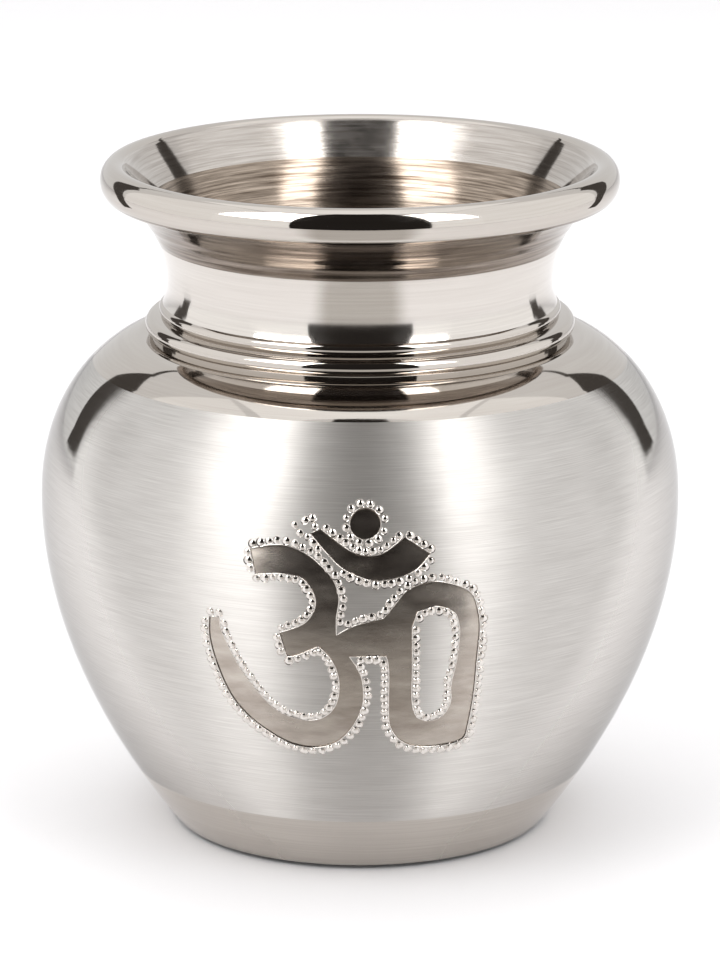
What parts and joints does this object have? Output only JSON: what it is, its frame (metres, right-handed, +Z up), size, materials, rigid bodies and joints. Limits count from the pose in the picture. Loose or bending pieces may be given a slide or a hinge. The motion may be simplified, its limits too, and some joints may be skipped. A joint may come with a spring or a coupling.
{
  "type": "kalash",
  "caption": "Round-bellied steel ritual water pot: dished foot, brushed belly with an engraved Om, mirror shoulder, beaded neck ring, waisted neck and a rolled flaring rim",
  "frame": {"origin": "On the pot's upright axis, in the plane of the foot ring that stands on the table", "axes": "+Z points up out of the mouth, -Y is the front with the Om, +X is to the right as the Om is read"},
  "size_m": [0.13, 0.13, 0.1369],
  "materials": {
    "mirror_steel": "stainless steel polished to a mirror, with a faint circular polishing grain in the throat",
    "brushed_steel": "stainless steel with a fine hairline brush running round the belly, the Om polished inside a line of punched dots",
    "satin_steel": "stainless steel with a smooth satin turn round the foot",
    "drawn_wire": "dull drawn steel wire, hidden inside the rolled rim"
  },
  "bodies": {
    "root": {"base_pan": "satin_steel", "belly_shell": "brushed_steel", "shoulder_shell": "mirror_steel", "neck_ring": "mirror_steel", "neck_collar": "mirror_steel", "throat_sleeve": "mirror_steel", "rim_wire": "drawn_wire"}
  },
  "joints": []
}
